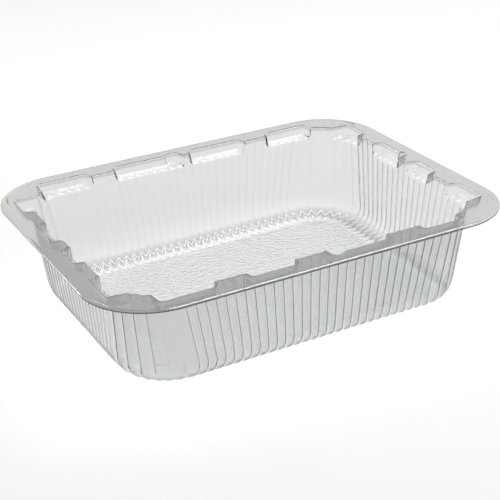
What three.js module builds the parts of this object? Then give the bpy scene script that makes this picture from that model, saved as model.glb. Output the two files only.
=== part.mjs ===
// Clear thermoformed snack tray with a flat rim, denesting pockets and fluted walls.
// Millimetres, +Z up, X along the long side, Y towards the back.
// The origin is at the middle of the base, on the face that the tray stands on.
import * as THREE from 'three';

// Overall size
const RIM_LENGTH = 184;
const RIM_WIDTH = 144;
const TRAY_HEIGHT = 43.7;
const SHEET_THICKNESS = 0.45;

// Rim flange, with its outer edge turned down
const RIM_CORNER_RADIUS = 28.3;
const LIP_WIDTH = 1.3;
const LIP_DROP = 0.6;

// Fluted wall, whose corners get rounder towards the foot
const WALL_INSET = 10.9;
const WALL_CORNER_RADIUS = 22;
const FOOT_CORNER_RADIUS = 26;
const DRAFT_DEGREES = 4;
const FLUTE_DEPTH = 0.9;
const FLUTE_SHOULDER = 0.25;
const LONG_FLUTE_PITCH = 4.22;
const SHORT_FLUTE_PITCH = 4.34;
const CORNER_FLUTE_PITCH = 4.94;

// Rounded foot of the wall, where the flutes deepen and run out on the floor
const BASE_FILLET = 10;
const FLOOR_CORNER_RADIUS = 12;
const FOOT_FLUTE_DEPTH = 1.2;

// Denesting pockets under the flange
const POCKET_STEP = 3.5;
const POCKET_DEPTH = 4.2;
const POCKET_END_ROUND = 1.2;
const POCKET_TAPER = 0.4;
const LEDGE_DROP = 1;
const LUG_STEP = 1.5;

// A pocket starts at a distance from the middle of its side (anchor 0)
// or from the wall's lower (-1) or higher (1) end, and runs along the side.
const pocket = (anchor, start, length, lugStart = 0, lugWidth = 0) => ({
  anchor, start, length, lugStart, lugWidth,
});
const BACK_POCKETS = [
  pocket(-1, 10.2, 25.1),
  pocket(0, -34.5, 34.5, 26.9, 7.6),
  pocket(0, 3, 28.7),
  pocket(1, -37.4, 23.5),
];
const FRONT_POCKETS = [
  pocket(-1, 10.7, 24.6),
  pocket(0, -33.1, 22.1),
  pocket(0, 2, 28.7, 0, 6.2),
  pocket(1, -36, 20.5),
];
const END_POCKETS = [
  pocket(-1, 9.1, 19),
  pocket(0, -19.3, 16.4),
  pocket(0, 4.3, 20.9, 0, 4.6),
  pocket(1, -23.4, 15.8),
];

// Steps that round curves and flat parts are drawn with
const FILLET_STEPS = 3;
const RIM_CORNER_STEPS = 10;
const RIM_SIDE_STEPS = 4;
const FLOOR_RING_STEPS = 3;
const FLOOR_RING_SHARE = 0.5;

// Look of the sheet
const SHEET_COLOUR = [0.86, 0.88, 0.87];
const SHEET_ROUGHNESS = 0.08;
const SHEET_OPACITY = 0.35;

const radians = (degrees) => degrees * Math.PI / 180;
const DRAFT = radians(DRAFT_DEGREES);
const HALF_LENGTH = RIM_LENGTH / 2 - WALL_INSET;
const HALF_WIDTH = RIM_WIDTH / 2 - WALL_INSET;
const FOOT_TOP = BASE_FILLET * (1 - Math.sin(DRAFT));

// The sides of the tray by the way that they face: right, back, left and front.
// A rounded rectangle has two stretches per side, the side itself and the corner after it,
// counter-clockwise from above.
const SIDES = [
  { nx: 1, ny: 0, pockets: END_POCKETS },
  { nx: 0, ny: 1, pockets: BACK_POCKETS },
  { nx: -1, ny: 0, pockets: END_POCKETS },
  { nx: 0, ny: -1, pockets: FRONT_POCKETS },
];
const STRETCHES = 2 * SIDES.length;

// Point and outward normal on a rounded rectangle at stretch number s, share f along it.
function outlinePoint(s, f, halfLength, halfWidth, radius) {
  const side = SIDES[s >> 1];
  const spanX = halfLength - radius;
  const spanY = halfWidth - radius;
  if (s % 2 === 0) {
    const half = side.nx === 0 ? spanX : spanY;
    const along = (2 * f - 1) * half;
    return {
      x: side.nx * halfLength - side.ny * along,
      y: side.ny * halfWidth + side.nx * along,
      nx: side.nx,
      ny: side.ny,
    };
  }
  const next = SIDES[((s >> 1) + 1) % SIDES.length];
  const angle = f * Math.PI / 2;
  const nx = side.nx * Math.cos(angle) + next.nx * Math.sin(angle);
  const ny = side.ny * Math.cos(angle) + next.ny * Math.sin(angle);
  const cornerX = (side.nx + next.nx) * spanX;
  const cornerY = (side.ny + next.ny) * spanY;
  return { x: cornerX + nx * radius, y: cornerY + ny * radius, nx, ny };
}

// Number of flutes on a stretch.
function fluteCount(s) {
  if (s % 2 === 1) {
    return Math.round(WALL_CORNER_RADIUS * Math.PI / 2 / CORNER_FLUTE_PITCH);
  }
  return SIDES[s >> 1].nx === 0
    ? Math.round(2 * (HALF_LENGTH - WALL_CORNER_RADIUS) / LONG_FLUTE_PITCH)
    : Math.round(2 * (HALF_WIDTH - WALL_CORNER_RADIUS) / SHORT_FLUTE_PITCH);
}

// Stations round the wall: one at each ridge and two on the round back of each flute.
function wallStations() {
  const stations = [];
  for (let s = 0; s < STRETCHES; s++) {
    const flutes = fluteCount(s);
    for (let k = 0; k < flutes; k++) {
      for (const q of [0, FLUTE_SHOULDER, 1 - FLUTE_SHOULDER]) {
        const f = (k + q) / flutes;
        stations.push({ s, f, u: s + f, ridge: q === 0 });
      }
    }
  }
  return stations;
}

// Tells each station which side it belongs to and how far along that side it lies.
function assignSides(stations) {
  for (const station of stations) {
    const { s, f } = station;
    const number = s % 2 === 0 || f < 0.5 ? s >> 1 : ((s >> 1) + 1) % SIDES.length;
    const p = outlinePoint(s, f, HALF_LENGTH, HALF_WIDTH, WALL_CORNER_RADIUS);
    station.side = SIDES[number];
    station.along = station.side.nx === 0 ? p.x : p.y;
  }
}

// Marks the stations that lie in one pocket and works out how far each is pushed out.
function markPocket(stations, side, shape) {
  const halfSpan = side.nx === 0 ? HALF_LENGTH : HALF_WIDTH;
  const from = shape.anchor * halfSpan + shape.start;
  const to = from + shape.length;
  const lugFrom = from + shape.lugStart;
  const inside = stations
    .filter((station) => station.side === side && station.along >= from && station.along <= to)
    .sort((first, second) => first.along - second.along);
  for (const station of inside) {
    const isFirst = station === inside[0];
    const isLast = station === inside[inside.length - 1];
    const along = isFirst ? from : isLast ? to : station.along;
    const reach = (along - lugFrom) / shape.lugWidth * 2 - 1;
    const lug = shape.lugWidth > 0 ? LUG_STEP * Math.sqrt(Math.max(0, 1 - reach * reach)) : 0;
    const round = isFirst || isLast ? POCKET_END_ROUND : 0;
    station.pocket = {
      along,
      out: POCKET_STEP + lug - round,
      end: isFirst ? 1 : isLast ? -1 : 0,
    };
  }
}

// Marks the stations beside a pocket, whose inner face follows the pocket's end wall.
function markNeighbours(stations) {
  stations.forEach((station, i) => {
    const before = stations[(i + stations.length - 1) % stations.length];
    const after = stations[(i + 1) % stations.length];
    const neighbour = [before, after].find((other) => other.pocket);
    station.towardsPocket = station.pocket || !neighbour ? 0 : neighbour.pocket.end;
    station.pocketSide = neighbour ? neighbour.side : station.side;
  });
}

const STATIONS = wallStations();
assignSides(STATIONS);
SIDES.forEach((side) => side.pockets.forEach((shape) => markPocket(STATIONS, side, shape)));
markNeighbours(STATIONS);

// Inset of the drafted wall, measured at the ridges, at a height z.
const wallInset = (z) => (TRAY_HEIGHT - z) * Math.tan(DRAFT);

// Corner radius of the wall at a height z.
function cornerRadius(z) {
  const share = (TRAY_HEIGHT - z) / (TRAY_HEIGHT - FOOT_TOP);
  return WALL_CORNER_RADIUS + (FOOT_CORNER_RADIUS - WALL_CORNER_RADIUS) * share;
}

// A fluted ring at a height z: inset and corner radius are those of the ridges.
function flutedRing(z, inset, radius, fluteDepth) {
  return STATIONS.map(({ s, f, u, ridge }) => {
    const p = outlinePoint(s, f, HALF_LENGTH - inset, HALF_WIDTH - inset, radius);
    const depth = ridge ? 0 : fluteDepth;
    return { u, x: p.x - p.nx * depth, y: p.y - p.ny * depth, z };
  });
}

// skin is 0 for the outer face and the sheet thickness for the inner face.
const wallRing = (z, skin) => flutedRing(z, wallInset(z) + skin, cornerRadius(z) - skin, FLUTE_DEPTH);

// A ring that follows the pockets where there are some and the fluted wall elsewhere.
function pocketRing(z, skin, taper) {
  const ring = wallRing(z, skin);
  STATIONS.forEach((station, i) => {
    if (!station.pocket) {
      const shift = station.towardsPocket * skin;
      ring[i].x += station.pocketSide.nx === 0 ? shift : 0;
      ring[i].y += station.pocketSide.ny === 0 ? shift : 0;
      return;
    }
    const { nx, ny } = station.side;
    const along = station.pocket.along + station.pocket.end * (skin + taper);
    const out = station.pocket.out - skin - taper;
    ring[i].x = nx === 0 ? along : nx * (HALF_LENGTH + out);
    ring[i].y = ny === 0 ? along : ny * (HALF_WIDTH + out);
  });
  return ring;
}

// Rings round the rounded foot, from the wall down to the floor.
function footRings(skin) {
  const rings = [];
  const centreInset = wallInset(FOOT_TOP) + BASE_FILLET * Math.cos(DRAFT);
  const arm = BASE_FILLET - skin;
  for (let k = 0; k <= FILLET_STEPS; k++) {
    const share = k / FILLET_STEPS;
    const angle = DRAFT + share * (Math.PI / 2 - DRAFT);
    const inset = centreInset - arm * Math.cos(angle);
    const z = BASE_FILLET - arm * Math.sin(angle);
    const turn = 1 - Math.cos(angle);
    const outerRadius = FOOT_CORNER_RADIUS + (FLOOR_CORNER_RADIUS - FOOT_CORNER_RADIUS) * turn;
    const deepening = FLUTE_DEPTH + (FOOT_FLUTE_DEPTH - FLUTE_DEPTH) * share;
    const depth = k === FILLET_STEPS ? 0 : deepening;
    rings.push(flutedRing(z, inset, outerRadius - skin * Math.cos(angle), depth));
  }
  return rings;
}

// A plain rounded rectangle ring for the flange and the middle of the floor.
function plainRing(z, halfLength, halfWidth, radius, sideSteps, cornerSteps) {
  const ring = [];
  for (let s = 0; s < STRETCHES; s++) {
    const steps = s % 2 === 0 ? sideSteps : cornerSteps;
    for (let k = 0; k < steps; k++) {
      const f = k / steps;
      const p = outlinePoint(s, f, halfLength, halfWidth, radius);
      ring.push({ u: s + f, x: p.x, y: p.y, z });
    }
  }
  return ring;
}

const rimRing = (z, inset) => plainRing(
  z, RIM_LENGTH / 2 - inset, RIM_WIDTH / 2 - inset, RIM_CORNER_RADIUS - inset,
  RIM_SIDE_STEPS, RIM_CORNER_STEPS);

const floorRing = (z) => plainRing(
  z, HALF_LENGTH * FLOOR_RING_SHARE, HALF_WIDTH * FLOOR_RING_SHARE, FLOOR_CORNER_RADIUS,
  FLOOR_RING_STEPS, FLOOR_RING_STEPS);

// All rings of one face of the sheet, from the middle of the floor to the rim's edge.
function sheetFace(skin) {
  const flangeZ = TRAY_HEIGHT - SHEET_THICKNESS + skin;
  const pocketFloorZ = flangeZ - POCKET_DEPTH;
  const inward = [
    { name: 'edge', ring: rimRing(flangeZ - LIP_DROP, 0) },
    { name: 'rim', ring: rimRing(flangeZ, LIP_WIDTH) },
    { name: 'wallTop', ring: pocketRing(flangeZ, skin, 0) },
    { name: 'pocketFloor', ring: pocketRing(pocketFloorZ, skin, POCKET_TAPER) },
    { name: 'ledge', ring: wallRing(pocketFloorZ - LEDGE_DROP, skin) },
    ...footRings(skin).map((ring) => ({ name: 'foot', ring })),
    { name: 'floor', ring: floorRing(skin) },
    { name: 'middle', ring: [{ u: 0, x: 0, y: 0, z: skin }] },
  ];
  return inward.reverse();
}

// Builds the closed skin from the rings of both faces.
class Skin {
  constructor() {
    this.positions = [];
    this.index = [];
  }

  addRing({ name, ring }) {
    const points = ring.map((point) => {
      this.positions.push(point.x, point.y, point.z);
      return { u: point.u, id: this.positions.length / 3 - 1 };
    });
    return { name, points };
  }

  triangle(a, b, c, flipped) {
    this.index.push(a.id, flipped ? c.id : b.id, flipped ? b.id : c.id);
  }

  // Joins two rings by walking round both in step. A single point closes a ring like a fan.
  join(inner, outer, flipped) {
    const innerCount = inner.length > 1 ? inner.length : 0;
    let i = 0;
    let j = 0;
    while (i < innerCount || j < outer.length) {
      const innerNext = i + 1 < innerCount ? inner[i + 1].u : STRETCHES;
      const outerNext = j + 1 < outer.length ? outer[j + 1].u : STRETCHES;
      const stepInner = i < innerCount && (j >= outer.length || innerNext <= outerNext);
      const a = inner[i % inner.length];
      const b = outer[j % outer.length];
      if (stepInner) {
        this.triangle(a, inner[(i + 1) % inner.length], b, flipped);
        i += 1;
      } else {
        this.triangle(a, outer[(j + 1) % outer.length], b, flipped);
        j += 1;
      }
    }
  }

  // Fills the flat flange between the top of the wall and a plain ring round it.
  fillFlange(wallTop, rim, flipped) {
    const flat = ({ id }) => new THREE.Vector2(this.positions[3 * id], this.positions[3 * id + 1]);
    const points = [...rim, ...wallTop];
    const faces = THREE.ShapeUtils.triangulateShape(rim.map(flat), [wallTop.map(flat)]);
    for (const [a, b, c] of faces) this.triangle(points[a], points[b], points[c], flipped);
  }

  // Joins the rings of one face in order.
  joinAll(rings, flipped) {
    for (let k = 0; k + 1 < rings.length; k++) {
      const inner = rings[k];
      const outer = rings[k + 1];
      if (inner.name === 'wallTop') this.fillFlange(inner.points, outer.points, !flipped);
      else this.join(inner.points, outer.points, flipped);
    }
  }

  geometry() {
    const geometry = new THREE.BufferGeometry();
    geometry.setAttribute('position', new THREE.Float32BufferAttribute(this.positions, 3));
    geometry.setIndex(this.index);
    geometry.computeVertexNormals();
    return geometry;
  }
}

function makeTray() {
  const skin = new Skin();
  const outerRings = sheetFace(0).map((ring) => skin.addRing(ring));
  const innerRings = sheetFace(SHEET_THICKNESS).map((ring) => skin.addRing(ring));
  skin.joinAll(outerRings, false);
  skin.joinAll(innerRings, true);
  skin.join(outerRings.at(-1).points, innerRings.at(-1).points, false);
  const material = new THREE.MeshStandardMaterial({
    color: new THREE.Color(...SHEET_COLOUR),
    roughness: SHEET_ROUGHNESS,
    metalness: 0,
    transparent: true,
    opacity: SHEET_OPACITY,
  });
  const tray = new THREE.Mesh(skin.geometry(), material);
  tray.name = 'tray';
  return tray;
}

const group = new THREE.Group();
group.name = 'snack_tray';
group.add(makeTray());
export default group;
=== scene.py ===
import math
from collections import namedtuple

import bpy
from mathutils import Matrix, Vector


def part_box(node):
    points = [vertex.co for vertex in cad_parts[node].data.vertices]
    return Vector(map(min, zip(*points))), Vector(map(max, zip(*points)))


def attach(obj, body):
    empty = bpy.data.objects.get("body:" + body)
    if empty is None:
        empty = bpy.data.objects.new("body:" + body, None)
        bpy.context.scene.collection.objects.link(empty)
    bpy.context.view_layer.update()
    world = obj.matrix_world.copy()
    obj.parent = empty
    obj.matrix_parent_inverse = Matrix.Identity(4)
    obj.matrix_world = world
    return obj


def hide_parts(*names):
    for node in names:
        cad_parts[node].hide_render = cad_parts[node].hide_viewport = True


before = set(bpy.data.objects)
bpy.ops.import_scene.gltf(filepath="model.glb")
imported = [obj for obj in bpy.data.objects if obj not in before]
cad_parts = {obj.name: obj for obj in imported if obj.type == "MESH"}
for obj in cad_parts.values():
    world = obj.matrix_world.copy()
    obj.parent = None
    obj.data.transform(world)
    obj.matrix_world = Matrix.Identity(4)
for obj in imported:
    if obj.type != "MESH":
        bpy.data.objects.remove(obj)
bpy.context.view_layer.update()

# Shapes are worked out in millimetres and turned to metres when a mesh is made.
MM = 0.001

# Overall size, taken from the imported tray
LOW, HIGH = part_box("tray")
RIM_LENGTH = (HIGH[0] - LOW[0]) / MM
RIM_WIDTH = (HIGH[1] - LOW[1]) / MM
TRAY_HEIGHT = (HIGH[2] - LOW[2]) / MM
SHEET_THICKNESS = 0.45

# Rim flange, with its outer edge turned down
RIM_CORNER_RADIUS = 28.3
LIP_WIDTH = 1.3
LIP_DROP = 0.6
LIP_SHARES = (0.35, 0.7, 1.0)
LIP_ROUNDNESS = 1.6

# Fluted wall, whose corners get rounder towards the foot
WALL_INSET = 10.9
WALL_CORNER_RADIUS = 22
FOOT_CORNER_RADIUS = 26
DRAFT = math.radians(4)
FLUTE_DEPTH = 0.6
FLUTE_ROUNDNESS = 0.9
LONG_FLUTE_PITCH = 4.22
SHORT_FLUTE_PITCH = 4.34
CORNER_FLUTE_PITCH = 4.94
STATIONS_PER_FLUTE = 8
WALL_STEPS = 3

# Rounded foot: each flute ends in a pleat. Shares of the turn from wall to floor tell where the
# pleat's upper fold and its toe lie, at the ridges and at the middle of the flute.
BASE_FILLET = 10
FLOOR_CORNER_RADIUS = 12
FOOT_FLUTE_DEPTH = 0.55
FOLD_STEEPNESS = 3
FOLD_AT_RIDGE = 0.45
FOLD_AT_MIDDLE = 0.68
TOE_AT_RIDGE = 0.76
TOE_AT_MIDDLE = 0.97
STEPS_TO_FOLD = (0, 0.35, 0.65, 0.85, 0.97)
STEPS_TO_TOE = (0, 0.08, 0.5, 0.92)
STEPS_TO_FLOOR = (0, 0.1, 0.5, 1)

# Denesting pockets under the flange
POCKET_STEP = 3.5
POCKET_DEPTH = 4.2
POCKET_END_RADIUS = 2.4
POCKET_TAPER = 0.4
POCKET_FLOOR_RADIUS = 1.0
POCKET_FLOOR_ANGLES = (60, 30, 0)
LEDGE_DROP = 1
LEDGE_PROFILE = ((-0.7, 1), (-0.35, 0.985), (-0.05, 0.94), (0.15, 0.86), (0.45, 0.5))
LUG_STEP = 1.5
CREASE_RADIUS = 0.7
CREASE_ANGLES = (0, 22.5, 45, 67.5, 90)
LANDING = POCKET_STEP + LUG_STEP + 2 * CREASE_RADIUS

# A pocket starts at a distance from the middle of its side (anchor 0)
# or from the wall's lower (-1) or higher (1) end, and runs along the side.
# Its lug, where it has one, starts at a distance from the pocket's own start.
Pocket = namedtuple("Pocket", "anchor start length lug_start lug_width", defaults=(0, 0))
BACK_POCKETS = (
    Pocket(-1, 10.2, 25.1),
    Pocket(0, -34.5, 34.5, 26.9, 7.6),
    Pocket(0, 3, 28.7),
    Pocket(1, -37.4, 23.5),
)
FRONT_POCKETS = (
    Pocket(-1, 10.7, 24.6),
    Pocket(0, -33.1, 22.1),
    Pocket(0, 2, 28.7, 0, 6.2),
    Pocket(1, -36, 20.5),
)
END_POCKETS = (
    Pocket(-1, 9.1, 19),
    Pocket(0, -19.3, 16.4),
    Pocket(0, 4.3, 20.9, 0, 4.6),
    Pocket(1, -23.4, 15.8),
)

# The sides by the way that they face: right, back, left and front. A rounded rectangle has
# two stretches per side, the side and the corner after it, counter-clockwise from above.
Side = namedtuple("Side", "facing_x facing_y pockets")
SIDES = (
    Side(1, 0, END_POCKETS),
    Side(0, 1, BACK_POCKETS),
    Side(-1, 0, END_POCKETS),
    Side(0, -1, FRONT_POCKETS),
)
STRETCHES = 2 * len(SIDES)

HALF_LENGTH = RIM_LENGTH / 2 - WALL_INSET
HALF_WIDTH = RIM_WIDTH / 2 - WALL_INSET
FOOT_TOP = BASE_FILLET * (1 - math.sin(DRAFT))
FLANGE_UNDERSIDE = TRAY_HEIGHT - SHEET_THICKNESS
POCKET_FLOOR = FLANGE_UNDERSIDE - POCKET_DEPTH

# Painted highlights: strips of faces just above some rings are made clearer, so that they show
# as light lines: the pleats' folds, their toes and the flute tops on the pockets' ledges.
TOE_RING = len(STEPS_TO_FLOOR) - 1
FOLD_RING = TOE_RING + len(STEPS_TO_TOE)
FOOT_RINGS = FOLD_RING + 1 + len(STEPS_TO_FOLD)
LEDGE_RING = FOOT_RINGS + WALL_STEPS - 1 + len(LEDGE_PROFILE) - 2
PAINTED_HIGHLIGHT_FROM_TIP = 0.5

# Places of two of the materials in the mesh's list, after the clear sheet at 0
EDGE_MATERIAL = 1
PAINTED_HIGHLIGHT_MATERIAL = 2

# Look of the sheet, whose tint goes by height: painted shade makes it darkest in the pleats, at the
# pleat height, and clearest in the walls from the pleats' top up. Edges sharper than SHARP_DEGREES stay
# sharp.
SHARP_DEGREES = 36
FLANGE_COLOUR = (0.555, 0.565, 0.555, 1)
WALL_COLOUR = (0.75, 0.76, 0.75, 1)
FLOOR_COLOUR = (0.62, 0.63, 0.62, 1)
PLEAT_PAINTED_SHADE_COLOUR = (0.45, 0.46, 0.45, 1)
# Clearer colour of the painted highlight strips
PAINTED_HIGHLIGHT_COLOUR = (0.97, 0.975, 0.97, 1)
PLEAT_SHADE_HEIGHT = 2
PLEAT_SHADE_TOP = 5.5
# Painted shade: the cut edge is coloured nearly black
EDGE_PAINTED_SHADE_COLOUR = (0.07, 0.08, 0.065, 1)
EDGE_ROUGHNESS = 0.4
SHEET_ROUGHNESS = 0.1
SHEET_IOR = 1.5
SHADOW_TINT = (0.95, 0.955, 0.95, 1)
WAVE_SCALE = 550
WAVE_DETAIL = 3
RIPPLE_SCALE = 1700
RIPPLE_DETAIL = 1
WAVE_DISTANCE = 0.0006
FLOOR_WAVE_STRENGTH = 0.4
FLOOR_WAVE_TOP = 2 * SHEET_THICKNESS
WALL_WAVE_STRENGTH = 0.05

# Camera: the way that it looks, from +X counter-clockwise and downwards, and what it aims at
CAMERA_AZIMUTH = 62.6251
CAMERA_ELEVATION = 25.6396
CAMERA_ROLL = -2.3135
CAMERA_AIM = (-22.13, -44.61, TRAY_HEIGHT)
CAMERA_DISTANCE = 486.4
CAMERA_LENS = 90.59
CAMERA_SENSOR = 36

# Room, in metres and watts
FLOOR_SIZE = 8
FLOOR_GAP = 0.0002
ROOM_WHITE = 1.0
ROOM_BOUNCE = 0.5
WHITE = (1, 1, 1, 1)
FLOOR_BOUNCE = (0.75, 0.75, 0.75, 1)
Lamp = namedtuple("Lamp", "name place width length power")
LAMPS = (
    Lamp("lamp_above", (0.35, 0.05, 0.85), 0.25, 0.5, 4.0),
    Lamp("lamp_behind_left", (-0.40, 0.74, 0.42), 0.12, 0.12, 0.7),
    Lamp("lamp_behind", (0.0, 0.70, 0.71), 0.12, 0.12, 0.6),
)

# A station is a place round the wall. Hump and tip are 0 at the ridges between two flutes and 1
# in the middle of a flute, and rise round or straight. Along is its place along its side.
Station = namedtuple("Station", "stretch share hump tip side along")


def outline_point(stretch, share, half_length, half_width, radius):
    """Point and outward normal on a rounded rectangle, a share of the way along a stretch."""
    side = SIDES[stretch // 2]
    span_x = half_length - radius
    span_y = half_width - radius
    if stretch % 2 == 0:
        along = (2 * share - 1) * (span_x if side.facing_x == 0 else span_y)
        x = side.facing_x * half_length - side.facing_y * along
        y = side.facing_y * half_width + side.facing_x * along
        return x, y, side.facing_x, side.facing_y
    after = SIDES[(stretch // 2 + 1) % len(SIDES)]
    angle = share * math.pi / 2
    normal_x = side.facing_x * math.cos(angle) + after.facing_x * math.sin(angle)
    normal_y = side.facing_y * math.cos(angle) + after.facing_y * math.sin(angle)
    x = (side.facing_x + after.facing_x) * span_x + normal_x * radius
    y = (side.facing_y + after.facing_y) * span_y + normal_y * radius
    return x, y, normal_x, normal_y


def flute_count(stretch):
    """Number of flutes on a stretch."""
    if stretch % 2 == 1:
        return round(WALL_CORNER_RADIUS * math.pi / 2 / CORNER_FLUTE_PITCH)
    if SIDES[stretch // 2].facing_x == 0:
        return round(2 * (HALF_LENGTH - WALL_CORNER_RADIUS) / LONG_FLUTE_PITCH)
    return round(2 * (HALF_WIDTH - WALL_CORNER_RADIUS) / SHORT_FLUTE_PITCH)


def make_stations():
    """Stations round the wall, evenly across each flute."""
    stations = []
    for stretch in range(STRETCHES):
        total = flute_count(stretch) * STATIONS_PER_FLUTE
        for number in range(total):
            share = number / total
            across = number % STATIONS_PER_FLUTE / STATIONS_PER_FLUTE
            hump = math.sin(math.pi * across) ** FLUTE_ROUNDNESS
            tip = 1 - abs(2 * across - 1)
            before_middle = stretch % 2 == 0 or share < 0.5
            side = SIDES[(stretch // 2 + (0 if before_middle else 1)) % len(SIDES)]
            x, y, _, _ = outline_point(stretch, share, HALF_LENGTH, HALF_WIDTH, WALL_CORNER_RADIUS)
            stations.append(Station(stretch, share, hump, tip, side, x if side.facing_x == 0 else y))
    return stations


STATIONS = make_stations()


def wall_inset(z):
    """Inset of the drafted wall, measured at the ridges, at a height z."""
    return (TRAY_HEIGHT - z) * math.tan(DRAFT)


def corner_radius(z):
    """Corner radius of the wall at a height z."""
    share = (TRAY_HEIGHT - z) / (TRAY_HEIGHT - FOOT_TOP)
    return WALL_CORNER_RADIUS + (FOOT_CORNER_RADIUS - WALL_CORNER_RADIUS) * share


def wall_point(station, z, inset, radius, depth):
    """Point of a station at a height z, with the flute pressing the sheet in by depth."""
    x, y, normal_x, normal_y = outline_point(
        station.stretch, station.share, HALF_LENGTH - inset, HALF_WIDTH - inset, radius)
    return x - normal_x * depth, y - normal_y * depth, z


def wall_ring(skin, z):
    """Fluted ring at a height z. skin is 0 for the outer face and the thickness for the inner."""
    inset = wall_inset(z) + skin
    radius = corner_radius(z) - skin
    return [wall_point(s, z, inset, radius, FLUTE_DEPTH * s.hump) for s in STATIONS]


def foot_point(station, skin, to_fold, to_toe, to_floor):
    """Point on the rounded foot, shares of the way to the pleat's fold, its toe and the floor."""
    fold = FOLD_AT_RIDGE + (FOLD_AT_MIDDLE - FOLD_AT_RIDGE) * station.tip
    toe = TOE_AT_RIDGE + (TOE_AT_MIDDLE - TOE_AT_RIDGE) * station.tip
    share = fold * to_fold + (toe - fold) * to_toe + (1 - toe) * to_floor
    angle = DRAFT + share * (math.pi / 2 - DRAFT)
    hump = station.hump + (station.tip - station.hump) * to_fold
    deepest = FLUTE_DEPTH + (FOOT_FLUTE_DEPTH - FLUTE_DEPTH) * to_fold ** FOLD_STEEPNESS
    depth = deepest * hump * (1 - to_toe)
    arm = BASE_FILLET - skin
    inset = wall_inset(FOOT_TOP) + BASE_FILLET * math.cos(DRAFT) - arm * math.cos(angle)
    turn = 1 - math.cos(angle)
    radius = FOOT_CORNER_RADIUS + (FLOOR_CORNER_RADIUS - FOOT_CORNER_RADIUS) * turn
    z = BASE_FILLET - (arm - depth) * math.sin(angle)
    return wall_point(station, z, inset, radius - skin * math.cos(angle), depth * math.cos(angle))


def lug_reach(along, width):
    """How far a round lug stands out of the pocket's wall."""
    if width == 0:
        return 0
    across = 2 * along / width - 1
    return LUG_STEP * math.sqrt(max(0, 1 - across * across))


def pocket_reach(station, shrink):
    """How far a pocket, narrowed by shrink, pushes the sheet out at a station, or None."""
    half_span = HALF_LENGTH if station.side.facing_x == 0 else HALF_WIDTH
    for pocket in station.side.pockets:
        begin = pocket.anchor * half_span + pocket.start
        to_end = min(station.along - begin, begin + pocket.length - station.along) - shrink
        if to_end < 0:
            continue
        in_round = max(0, POCKET_END_RADIUS - to_end)
        rounding = POCKET_END_RADIUS - math.sqrt(POCKET_END_RADIUS ** 2 - in_round ** 2)
        lug = lug_reach(station.along - begin - pocket.lug_start, pocket.lug_width)
        return POCKET_STEP - shrink - rounding + lug
    return None


def pocket_point(station, reach):
    """Point of a station at a reach outside the wall's ridges, square to its side."""
    side = station.side
    x = station.along if side.facing_x == 0 else side.facing_x * (HALF_LENGTH + reach)
    y = station.along if side.facing_y == 0 else side.facing_y * (HALF_WIDTH + reach)
    return x, y


def upper_ring(skin, z, shrink=0.0, outward=0.0, to_wall=0.0):
    """Ring along the pockets where there are some and along the fluted wall elsewhere.

    shrink narrows the pockets, outward moves the whole ring out, and to_wall is the share of
    the way from a pocket back to the wall.
    """
    ring = []
    inset = wall_inset(z) + skin
    radius = corner_radius(z) - skin
    for station in STATIONS:
        x, y, _ = wall_point(station, z, inset, radius, FLUTE_DEPTH * station.hump - outward)
        reach = pocket_reach(station, skin + shrink)
        if reach is not None:
            pocket_x, pocket_y = pocket_point(station, reach + outward)
            x = pocket_x + (x - pocket_x) * to_wall
            y = pocket_y + (y - pocket_y) * to_wall
        ring.append((x, y, z))
    return ring


def pocket_floor_rings(skin):
    """Rings over the ledge and up the rounded edge of the pocket's floor."""
    arm = POCKET_FLOOR_RADIUS - skin
    widest = math.radians(POCKET_FLOOR_ANGLES[0])
    shrink = POCKET_TAPER + arm * (1 - math.cos(widest))
    ledge = POCKET_FLOOR + skin - LEDGE_DROP
    rings = [upper_ring(skin, ledge + rise, shrink, to_wall=share) for rise, share in LEDGE_PROFILE]
    for degrees in POCKET_FLOOR_ANGLES:
        angle = math.radians(degrees)
        z = POCKET_FLOOR + POCKET_FLOOR_RADIUS - arm * math.sin(angle)
        rings.append(upper_ring(skin, z, POCKET_TAPER + arm * (1 - math.cos(angle))))
    return rings


def crease_rings(skin):
    """Rings round the bend from the wall out into the flange."""
    arm = CREASE_RADIUS + skin
    rings = []
    for degrees in CREASE_ANGLES:
        angle = math.radians(degrees)
        z = FLANGE_UNDERSIDE - CREASE_RADIUS + arm * math.sin(angle)
        rings.append(upper_ring(skin, z, outward=arm * (1 - math.cos(angle))))
    return rings


def landing_ring(skin):
    """Ring on the flange just clear of the pockets."""
    z = FLANGE_UNDERSIDE + skin
    ring = []
    for station in STATIONS:
        x, y, _ = wall_point(station, z, 0, WALL_CORNER_RADIUS, -LANDING)
        if pocket_reach(station, skin) is not None:
            x, y = pocket_point(station, LANDING)
        ring.append((x, y, z))
    return ring


def rim_ring(z, inset):
    """Plain rounded ring on the flange."""
    ring = []
    for station in STATIONS:
        x, y, _, _ = outline_point(
            station.stretch, station.share,
            RIM_LENGTH / 2 - inset, RIM_WIDTH / 2 - inset, RIM_CORNER_RADIUS - inset)
        ring.append((x, y, z))
    return ring


def rim_rings(skin):
    """Flat part of the flange and its turned-down edge."""
    z = FLANGE_UNDERSIDE + skin
    rings = [rim_ring(z, LIP_WIDTH)]
    for share in LIP_SHARES:
        rings.append(rim_ring(z - LIP_DROP * share ** LIP_ROUNDNESS, LIP_WIDTH * (1 - share)))
    return rings


def sheet_rings(skin):
    """All rings of one face of the sheet, from the floor up to the rim's edge."""
    foot = [(step, 0, 0) for step in STEPS_TO_FOLD]
    foot += [(1, step, 0) for step in STEPS_TO_TOE]
    foot += [(1, 1, step) for step in STEPS_TO_FLOOR]
    rings = [[foot_point(s, skin, *shares) for s in STATIONS] for shares in reversed(foot)]
    top = POCKET_FLOOR + skin - LEDGE_DROP + LEDGE_PROFILE[0][0]
    for step in range(1, WALL_STEPS):
        rings.append(wall_ring(skin, FOOT_TOP + (top - FOOT_TOP) * step / WALL_STEPS))
    rings += pocket_floor_rings(skin) + crease_rings(skin)
    rings.append(landing_ring(skin))
    return rings + rim_rings(skin)


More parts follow.
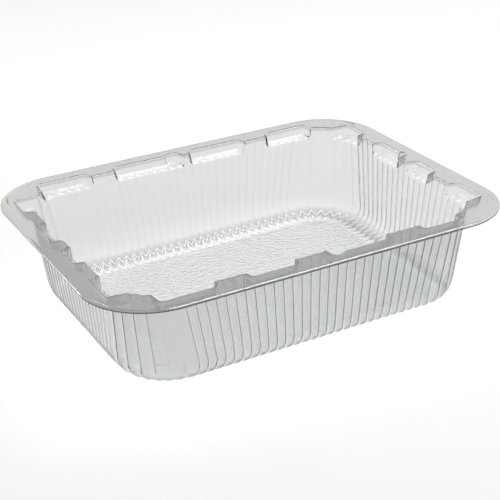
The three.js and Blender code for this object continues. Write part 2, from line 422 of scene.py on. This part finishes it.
def gets_painted_highlight(ring, station):
    """Whether the faces just above a ring at a station get the painted highlight."""
    if ring == LEDGE_RING:
        on_pocket = pocket_reach(station, POCKET_TAPER) is not None
        return on_pocket and station.tip > PAINTED_HIGHLIGHT_FROM_TIP
    return ring in (TOE_RING, FOLD_RING - 1, FOLD_RING)


def add_face_of_sheet(points, faces, painted_highlight_faces, skin):
    """Adds one side of the sheet, the face numbers of its painted highlight strips too, and returns
    the number of the first point on its edge ring."""
    first = len(points)
    count = len(STATIONS)
    rings = sheet_rings(skin)
    for ring in rings:
        points.extend((x * MM, y * MM, z * MM) for x, y, z in ring)
    turned = 1 if skin > 0 else -1
    faces.append(tuple(range(first, first + count))[::turned])
    for number in range(len(rings) - 1):
        low = first + number * count
        high = low + count
        for i in range(count):
            j = (i + 1) % count
            if gets_painted_highlight(number, STATIONS[i]):
                painted_highlight_faces.append(len(faces))
            faces.append((low + i, high + i, high + j, low + j)[::turned])
    return first + (len(rings) - 1) * count


def make_tray():
    """The whole tray as one closed sheet."""
    points = []
    faces = []
    painted_highlight_faces = []
    lower = add_face_of_sheet(points, faces, painted_highlight_faces, 0)
    upper = add_face_of_sheet(points, faces, painted_highlight_faces, SHEET_THICKNESS)
    count = len(STATIONS)
    for i in range(count):
        j = (i + 1) % count
        faces.append((lower + i, lower + j, upper + j, upper + i))
    mesh = bpy.data.meshes.new("tray_sheet")
    mesh.from_pydata(points, [], faces)
    mesh.materials.append(clear_plastic("clear_plastic"))
    mesh.materials.append(cut_edge_painted_dark())
    mesh.materials.append(clear_plastic("clear_plastic_painted_highlight", PAINTED_HIGHLIGHT_COLOUR))
    for polygon in mesh.polygons[-count:]:
        polygon.material_index = EDGE_MATERIAL
    # The painted highlight strips get the clearer sheet
    for number in painted_highlight_faces:
        mesh.polygons[number].material_index = PAINTED_HIGHLIGHT_MATERIAL
    mesh.shade_smooth()
    mesh.set_sharp_from_angle(angle=math.radians(SHARP_DEGREES))
    tray = bpy.data.objects.new("tray_sheet", mesh)
    bpy.context.scene.collection.objects.link(tray)
    even = tray.modifiers.new("even_shading", "WEIGHTED_NORMAL")
    even.keep_sharp = True
    return tray


def add_node(tree, kind, values=None):
    """Adds a node and sets the named inputs."""
    node = tree.nodes.new(kind)
    for name, value in (values or {}).items():
        node.inputs[name].default_value = value
    return node


def seen_rays(tree):
    """1 for what is seen straight, in a reflection or through the sheet, and 0 for other light."""
    path = tree.nodes.new("ShaderNodeLightPath")
    result = path.outputs["Is Camera Ray"]
    for kind in ("Is Glossy Ray", "Is Transmission Ray"):
        either = tree.nodes.new("ShaderNodeMath")
        either.operation = "MAXIMUM"
        tree.links.new(result, either.inputs[0])
        tree.links.new(path.outputs[kind], either.inputs[1])
        result = either.outputs[0]
    return result


def empty_material(name):
    """A node material with nothing but its output."""
    material = bpy.data.materials.new(name)
    material.use_nodes = True
    material.node_tree.nodes.clear()
    output = material.node_tree.nodes.new("ShaderNodeOutputMaterial")
    return material, material.node_tree, output


def sheet_colour(tree, height):
    """Colour of the sheet by its height, from the floor up to the flange, with painted shade in the
    pleats.
    """
    scale = add_node(tree, "ShaderNodeMapRange", {"From Min": 0, "From Max": TRAY_HEIGHT * MM})
    tree.links.new(height, scale.inputs["Value"])
    ramp = tree.nodes.new("ShaderNodeValToRGB")
    tree.links.new(scale.outputs["Result"], ramp.inputs["Fac"])
    stops = (
        (0, FLOOR_COLOUR),
        (SHEET_THICKNESS / TRAY_HEIGHT, FLOOR_COLOUR),
        # Painted shade: the pleats are darker than the floor below and the walls above
        (PLEAT_SHADE_HEIGHT / TRAY_HEIGHT, PLEAT_PAINTED_SHADE_COLOUR),
        (PLEAT_SHADE_TOP / TRAY_HEIGHT, WALL_COLOUR),
        ((FLANGE_UNDERSIDE - LIP_DROP - CREASE_RADIUS) / TRAY_HEIGHT, WALL_COLOUR),
        ((FLANGE_UNDERSIDE - LIP_DROP) / TRAY_HEIGHT, FLANGE_COLOUR),
    )
    elements = ramp.color_ramp.elements
    elements.remove(elements[0])
    elements[0].position = 0
    for _ in stops[1:]:
        elements.new(1)
    for element, (position, colour) in zip(elements, stops):
        element.position = position
        element.color = colour
    return ramp.outputs["Color"]


def sheet_waves(tree, place, height):
    """Fine uneven waves, strongest on the floor and faint on the walls."""
    waves = add_node(tree, "ShaderNodeTexNoise", {"Scale": WAVE_SCALE, "Detail": WAVE_DETAIL})
    ripples = add_node(tree, "ShaderNodeTexNoise", {"Scale": RIPPLE_SCALE, "Detail": RIPPLE_DETAIL})
    tree.links.new(place, waves.inputs["Vector"])
    tree.links.new(place, ripples.inputs["Vector"])
    both = tree.nodes.new("ShaderNodeMath")
    both.operation = "MULTIPLY_ADD"
    both.inputs[1].default_value = WAVE_SCALE / RIPPLE_SCALE
    tree.links.new(ripples.outputs["Fac"], both.inputs[0])
    tree.links.new(waves.outputs["Fac"], both.inputs[2])
    strength = add_node(tree, "ShaderNodeMapRange", {
        "From Min": SHEET_THICKNESS * MM,
        "From Max": FLOOR_WAVE_TOP * MM,
        "To Min": FLOOR_WAVE_STRENGTH,
        "To Max": WALL_WAVE_STRENGTH,
    })
    tree.links.new(height, strength.inputs["Value"])
    bump = add_node(tree, "ShaderNodeBump", {"Distance": WAVE_DISTANCE})
    tree.links.new(strength.outputs["Result"], bump.inputs["Strength"])
    tree.links.new(both.outputs[0], bump.inputs["Height"])
    return bump.outputs["Normal"]


def clear_plastic(name, colour=None):
    """Clear thermoformed sheet, coloured by height with painted shade in the pleats, or as given, as
    for the painted highlight strips. Its shadow stays faint.
    """
    material, tree, output = empty_material(name)
    place = tree.nodes.new("ShaderNodeTexCoord").outputs["Object"]
    split = tree.nodes.new("ShaderNodeSeparateXYZ")
    tree.links.new(place, split.inputs["Vector"])
    height = split.outputs["Z"]
    sheet = add_node(tree, "ShaderNodeBsdfPrincipled", {
        "Roughness": SHEET_ROUGHNESS,
        "IOR": SHEET_IOR,
        "Transmission Weight": 1,
    })
    if colour is None:
        tree.links.new(sheet_colour(tree, height), sheet.inputs["Base Color"])
    else:
        sheet.inputs["Base Color"].default_value = colour
    tree.links.new(sheet_waves(tree, place, height), sheet.inputs["Normal"])
    shadow = add_node(tree, "ShaderNodeBsdfTransparent", {"Color": SHADOW_TINT})
    path = tree.nodes.new("ShaderNodeLightPath")
    mix = tree.nodes.new("ShaderNodeMixShader")
    tree.links.new(path.outputs["Is Shadow Ray"], mix.inputs["Fac"])
    tree.links.new(sheet.outputs["BSDF"], mix.inputs[1])
    tree.links.new(shadow.outputs["BSDF"], mix.inputs[2])
    tree.links.new(mix.outputs["Shader"], output.inputs["Surface"])
    return material


def cut_edge_painted_dark():
    """Cut edge of the sheet, painted dark as painted shade, because seen end on it looks dark."""
    material, tree, output = empty_material("cut_edge_painted_dark")
    edge = add_node(tree, "ShaderNodeBsdfPrincipled", {
        "Base Color": EDGE_PAINTED_SHADE_COLOUR,
        "Roughness": EDGE_ROUGHNESS,
        "IOR": SHEET_IOR,
    })
    place = tree.nodes.new("ShaderNodeTexCoord").outputs["Object"]
    grain = add_node(tree, "ShaderNodeTexNoise", {"Scale": RIPPLE_SCALE})
    bump = add_node(tree, "ShaderNodeBump", {"Strength": WALL_WAVE_STRENGTH, "Distance": WAVE_DISTANCE})
    tree.links.new(place, grain.inputs["Vector"])
    tree.links.new(grain.outputs["Fac"], bump.inputs["Height"])
    tree.links.new(bump.outputs["Normal"], edge.inputs["Normal"])
    tree.links.new(edge.outputs["BSDF"], output.inputs["Surface"])
    return material


def add_floor():
    """Plain white floor just under the tray."""
    half = FLOOR_SIZE / 2
    mesh = bpy.data.meshes.new("floor")
    corners = [(-half, -half), (half, -half), (half, half), (-half, half)]
    mesh.from_pydata([(x, y, -FLOOR_GAP) for x, y in corners], [], [(0, 1, 2, 3)])
    material, tree, output = empty_material("floor_white")
    colour = add_node(tree, "ShaderNodeMixRGB", {"Color1": FLOOR_BOUNCE, "Color2": WHITE})
    tree.links.new(seen_rays(tree), colour.inputs["Fac"])
    matt = tree.nodes.new("ShaderNodeBsdfDiffuse")
    tree.links.new(colour.outputs["Color"], matt.inputs["Color"])
    tree.links.new(matt.outputs["BSDF"], output.inputs["Surface"])
    mesh.materials.append(material)
    floor = bpy.data.objects.new("floor", mesh)
    bpy.context.scene.collection.objects.link(floor)


def make_world():
    """White room, which lights the tray at a lower level than it shows."""
    world = bpy.data.worlds.new("room")
    bpy.context.scene.world = world
    world.use_nodes = True
    tree = world.node_tree
    tree.nodes.clear()
    output = tree.nodes.new("ShaderNodeOutputWorld")
    bounce = add_node(tree, "ShaderNodeBackground", {"Strength": ROOM_BOUNCE})
    white = add_node(tree, "ShaderNodeBackground", {"Strength": ROOM_WHITE})
    for background in (bounce, white):
        background.inputs["Color"].default_value = WHITE
    mix = tree.nodes.new("ShaderNodeMixShader")
    tree.links.new(seen_rays(tree), mix.inputs["Fac"])
    tree.links.new(bounce.outputs["Background"], mix.inputs[1])
    tree.links.new(white.outputs["Background"], mix.inputs[2])
    tree.links.new(mix.outputs["Shader"], output.inputs["Surface"])


def add_lamp(lamp):
    """Softbox that faces the tray and shows only as a highlight."""
    data = bpy.data.lights.new(lamp.name, "AREA")
    data.shape = "RECTANGLE"
    data.size = lamp.width
    data.size_y = lamp.length
    data.energy = lamp.power
    box = bpy.data.objects.new(lamp.name, data)
    place = Vector(lamp.place)
    box.matrix_world = Matrix.Translation(place) @ place.to_track_quat("Z", "Y").to_matrix().to_4x4()
    box.visible_camera = False
    box.visible_transmission = False
    bpy.context.scene.collection.objects.link(box)


def add_camera():
    """Camera at the photograph's viewing angle."""
    azimuth = math.radians(CAMERA_AZIMUTH)
    elevation = math.radians(CAMERA_ELEVATION)
    roll = math.radians(CAMERA_ROLL)
    forward = Vector((
        math.cos(azimuth) * math.cos(elevation),
        math.sin(azimuth) * math.cos(elevation),
        -math.sin(elevation),
    ))
    level_right = forward.cross(Vector((0, 0, 1))).normalized()
    level_up = level_right.cross(forward)
    right = level_right * math.cos(roll) + level_up * math.sin(roll)
    up = level_up * math.cos(roll) - level_right * math.sin(roll)
    data = bpy.data.cameras.new("camera")
    data.lens = CAMERA_LENS
    data.sensor_width = CAMERA_SENSOR
    camera = bpy.data.objects.new("camera", data)
    turned = Matrix((right, up, -forward)).transposed().to_4x4()
    place = (Vector(CAMERA_AIM) - forward * CAMERA_DISTANCE) * MM
    camera.matrix_world = Matrix.Translation(place) @ turned
    bpy.context.scene.collection.objects.link(camera)
    bpy.context.scene.camera = camera


add_camera()
make_world()
add_floor()
for lamp in LAMPS:
    add_lamp(lamp)

tray = make_tray()
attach(tray, "root")
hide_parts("tray")

bpy.context.scene.view_settings.view_transform = "Standard"
